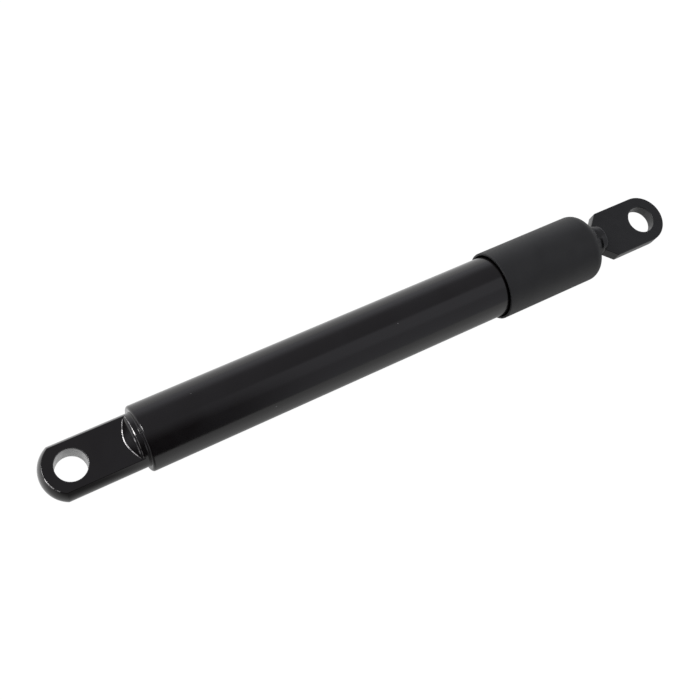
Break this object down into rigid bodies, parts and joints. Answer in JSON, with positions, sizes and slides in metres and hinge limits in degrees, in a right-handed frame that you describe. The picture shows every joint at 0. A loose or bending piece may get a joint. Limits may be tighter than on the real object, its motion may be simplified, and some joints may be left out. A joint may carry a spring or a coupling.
{
  "type": "gas strut stay",
  "caption": "Gas strut stay with a turned bar eye on the pressure tube, a plate eye on the piston rod and a shroud over the rod.",
  "frame": {"origin": "centre of the cylinder eye's pin bore, halfway between its two flats", "axes": "+X along the strut from the cylinder eye to the rod eye, +Z along both pin bores, square to the flats"},
  "size_m": [0.2434, 0.0246, 0.0246],
  "materials": {
    "tube_paint": "gloss black paint",
    "eye_paint": "gloss black paint over a turned bar",
    "shroud_coat": "fine matte black coating",
    "plate_steel": "satin grey-black plating",
    "rod_steel": "ground and hardened",
    "plain_steel": "stamped, plain",
    "sintered_iron": "sintered",
    "bush_bronze": "sintered bronze",
    "guide_plastic": "glass-filled nylon",
    "ring_plastic": "filled fluoroplastic",
    "seal_rubber": "nitrile rubber"
  },
  "bodies": {
    "cylinder": {"pressure_tube": "tube_paint", "cylinder_eye": "eye_paint", "plug_seal": "seal_rubber", "closing_disc": "plain_steel", "dust_wiper": "seal_rubber", "rod_guide": "guide_plastic", "guide_bush": "bush_bronze", "rod_seal": "seal_rubber", "seal_washer": "plain_steel"},
    "glide_ring": {"piston_ring": "ring_plastic"},
    "rod": {"piston_rod": "rod_steel", "stop_bumper": "seal_rubber", "piston_washer": "plain_steel", "valve_disc": "plain_steel", "piston_body": "sintered_iron", "piston_nut": "plain_steel", "shroud_tube": "shroud_coat", "clamp_washer": "plain_steel", "rod_eye": "plate_steel"}
  },
  "joints": [
    {"name": "rod_slide", "type": "slide", "parent": "cylinder", "child": "glide_ring", "axis": [1, 0, 0], "range_m": [-0.03, 0], "stiffness_N_per_m": 870, "springref_m": 0.172},
    {"name": "rod_spin", "type": "hinge", "parent": "glide_ring", "child": "rod", "pos_m": [0.13, 0, 0], "axis": [1, 0, 0], "continuous": true}
  ]
}
